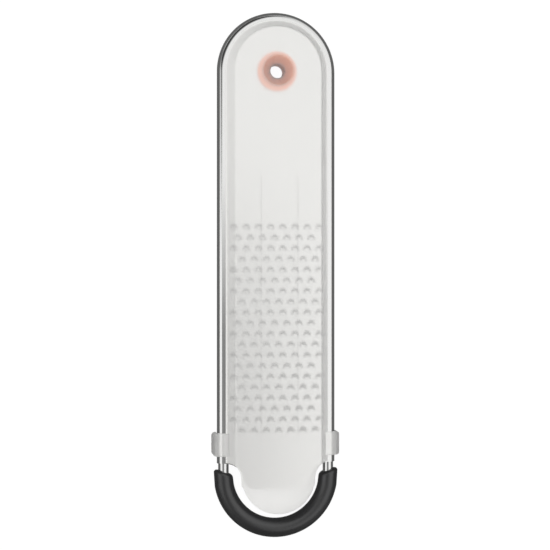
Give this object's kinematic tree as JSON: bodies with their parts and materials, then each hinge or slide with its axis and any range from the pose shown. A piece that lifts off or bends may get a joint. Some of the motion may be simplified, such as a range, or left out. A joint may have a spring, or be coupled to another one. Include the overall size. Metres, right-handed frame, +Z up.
{
  "type": "fine grater",
  "caption": "Hand-held fine grater: toothed steel plate rolled round a rod loop, with a rubber foot, a hanging eyelet and a frosted lift-off cover.",
  "frame": {"origin": "on the surface the grater lies on, under the middle of its length and width", "axes": "+Y from the rubber foot to the hanging hole, +Z up through the toothed side and the cover"},
  "size_m": [0.0734, 0.3, 0.016],
  "materials": {
    "rod_steel": "polished stainless rod",
    "plate_steel": "polished stainless sheet",
    "black_rubber": "soft satin black rubber",
    "orange_plastic": "smooth moulded orange plastic",
    "frosted_plastic": "frosted translucent plastic"
  },
  "bodies": {
    "grater": {"wire_frame": "rod_steel", "blade_plate": "plate_steel", "foot_grip": "black_rubber", "hanging_eyelet": "orange_plastic"},
    "cover": {"protective_cover": "frosted_plastic"}
  },
  "joints": [
    {"name": "cover_lift", "type": "slide", "parent": "grater", "child": "cover", "axis": [0, 0, 1], "range_m": [0, 0.05]}
  ]
}
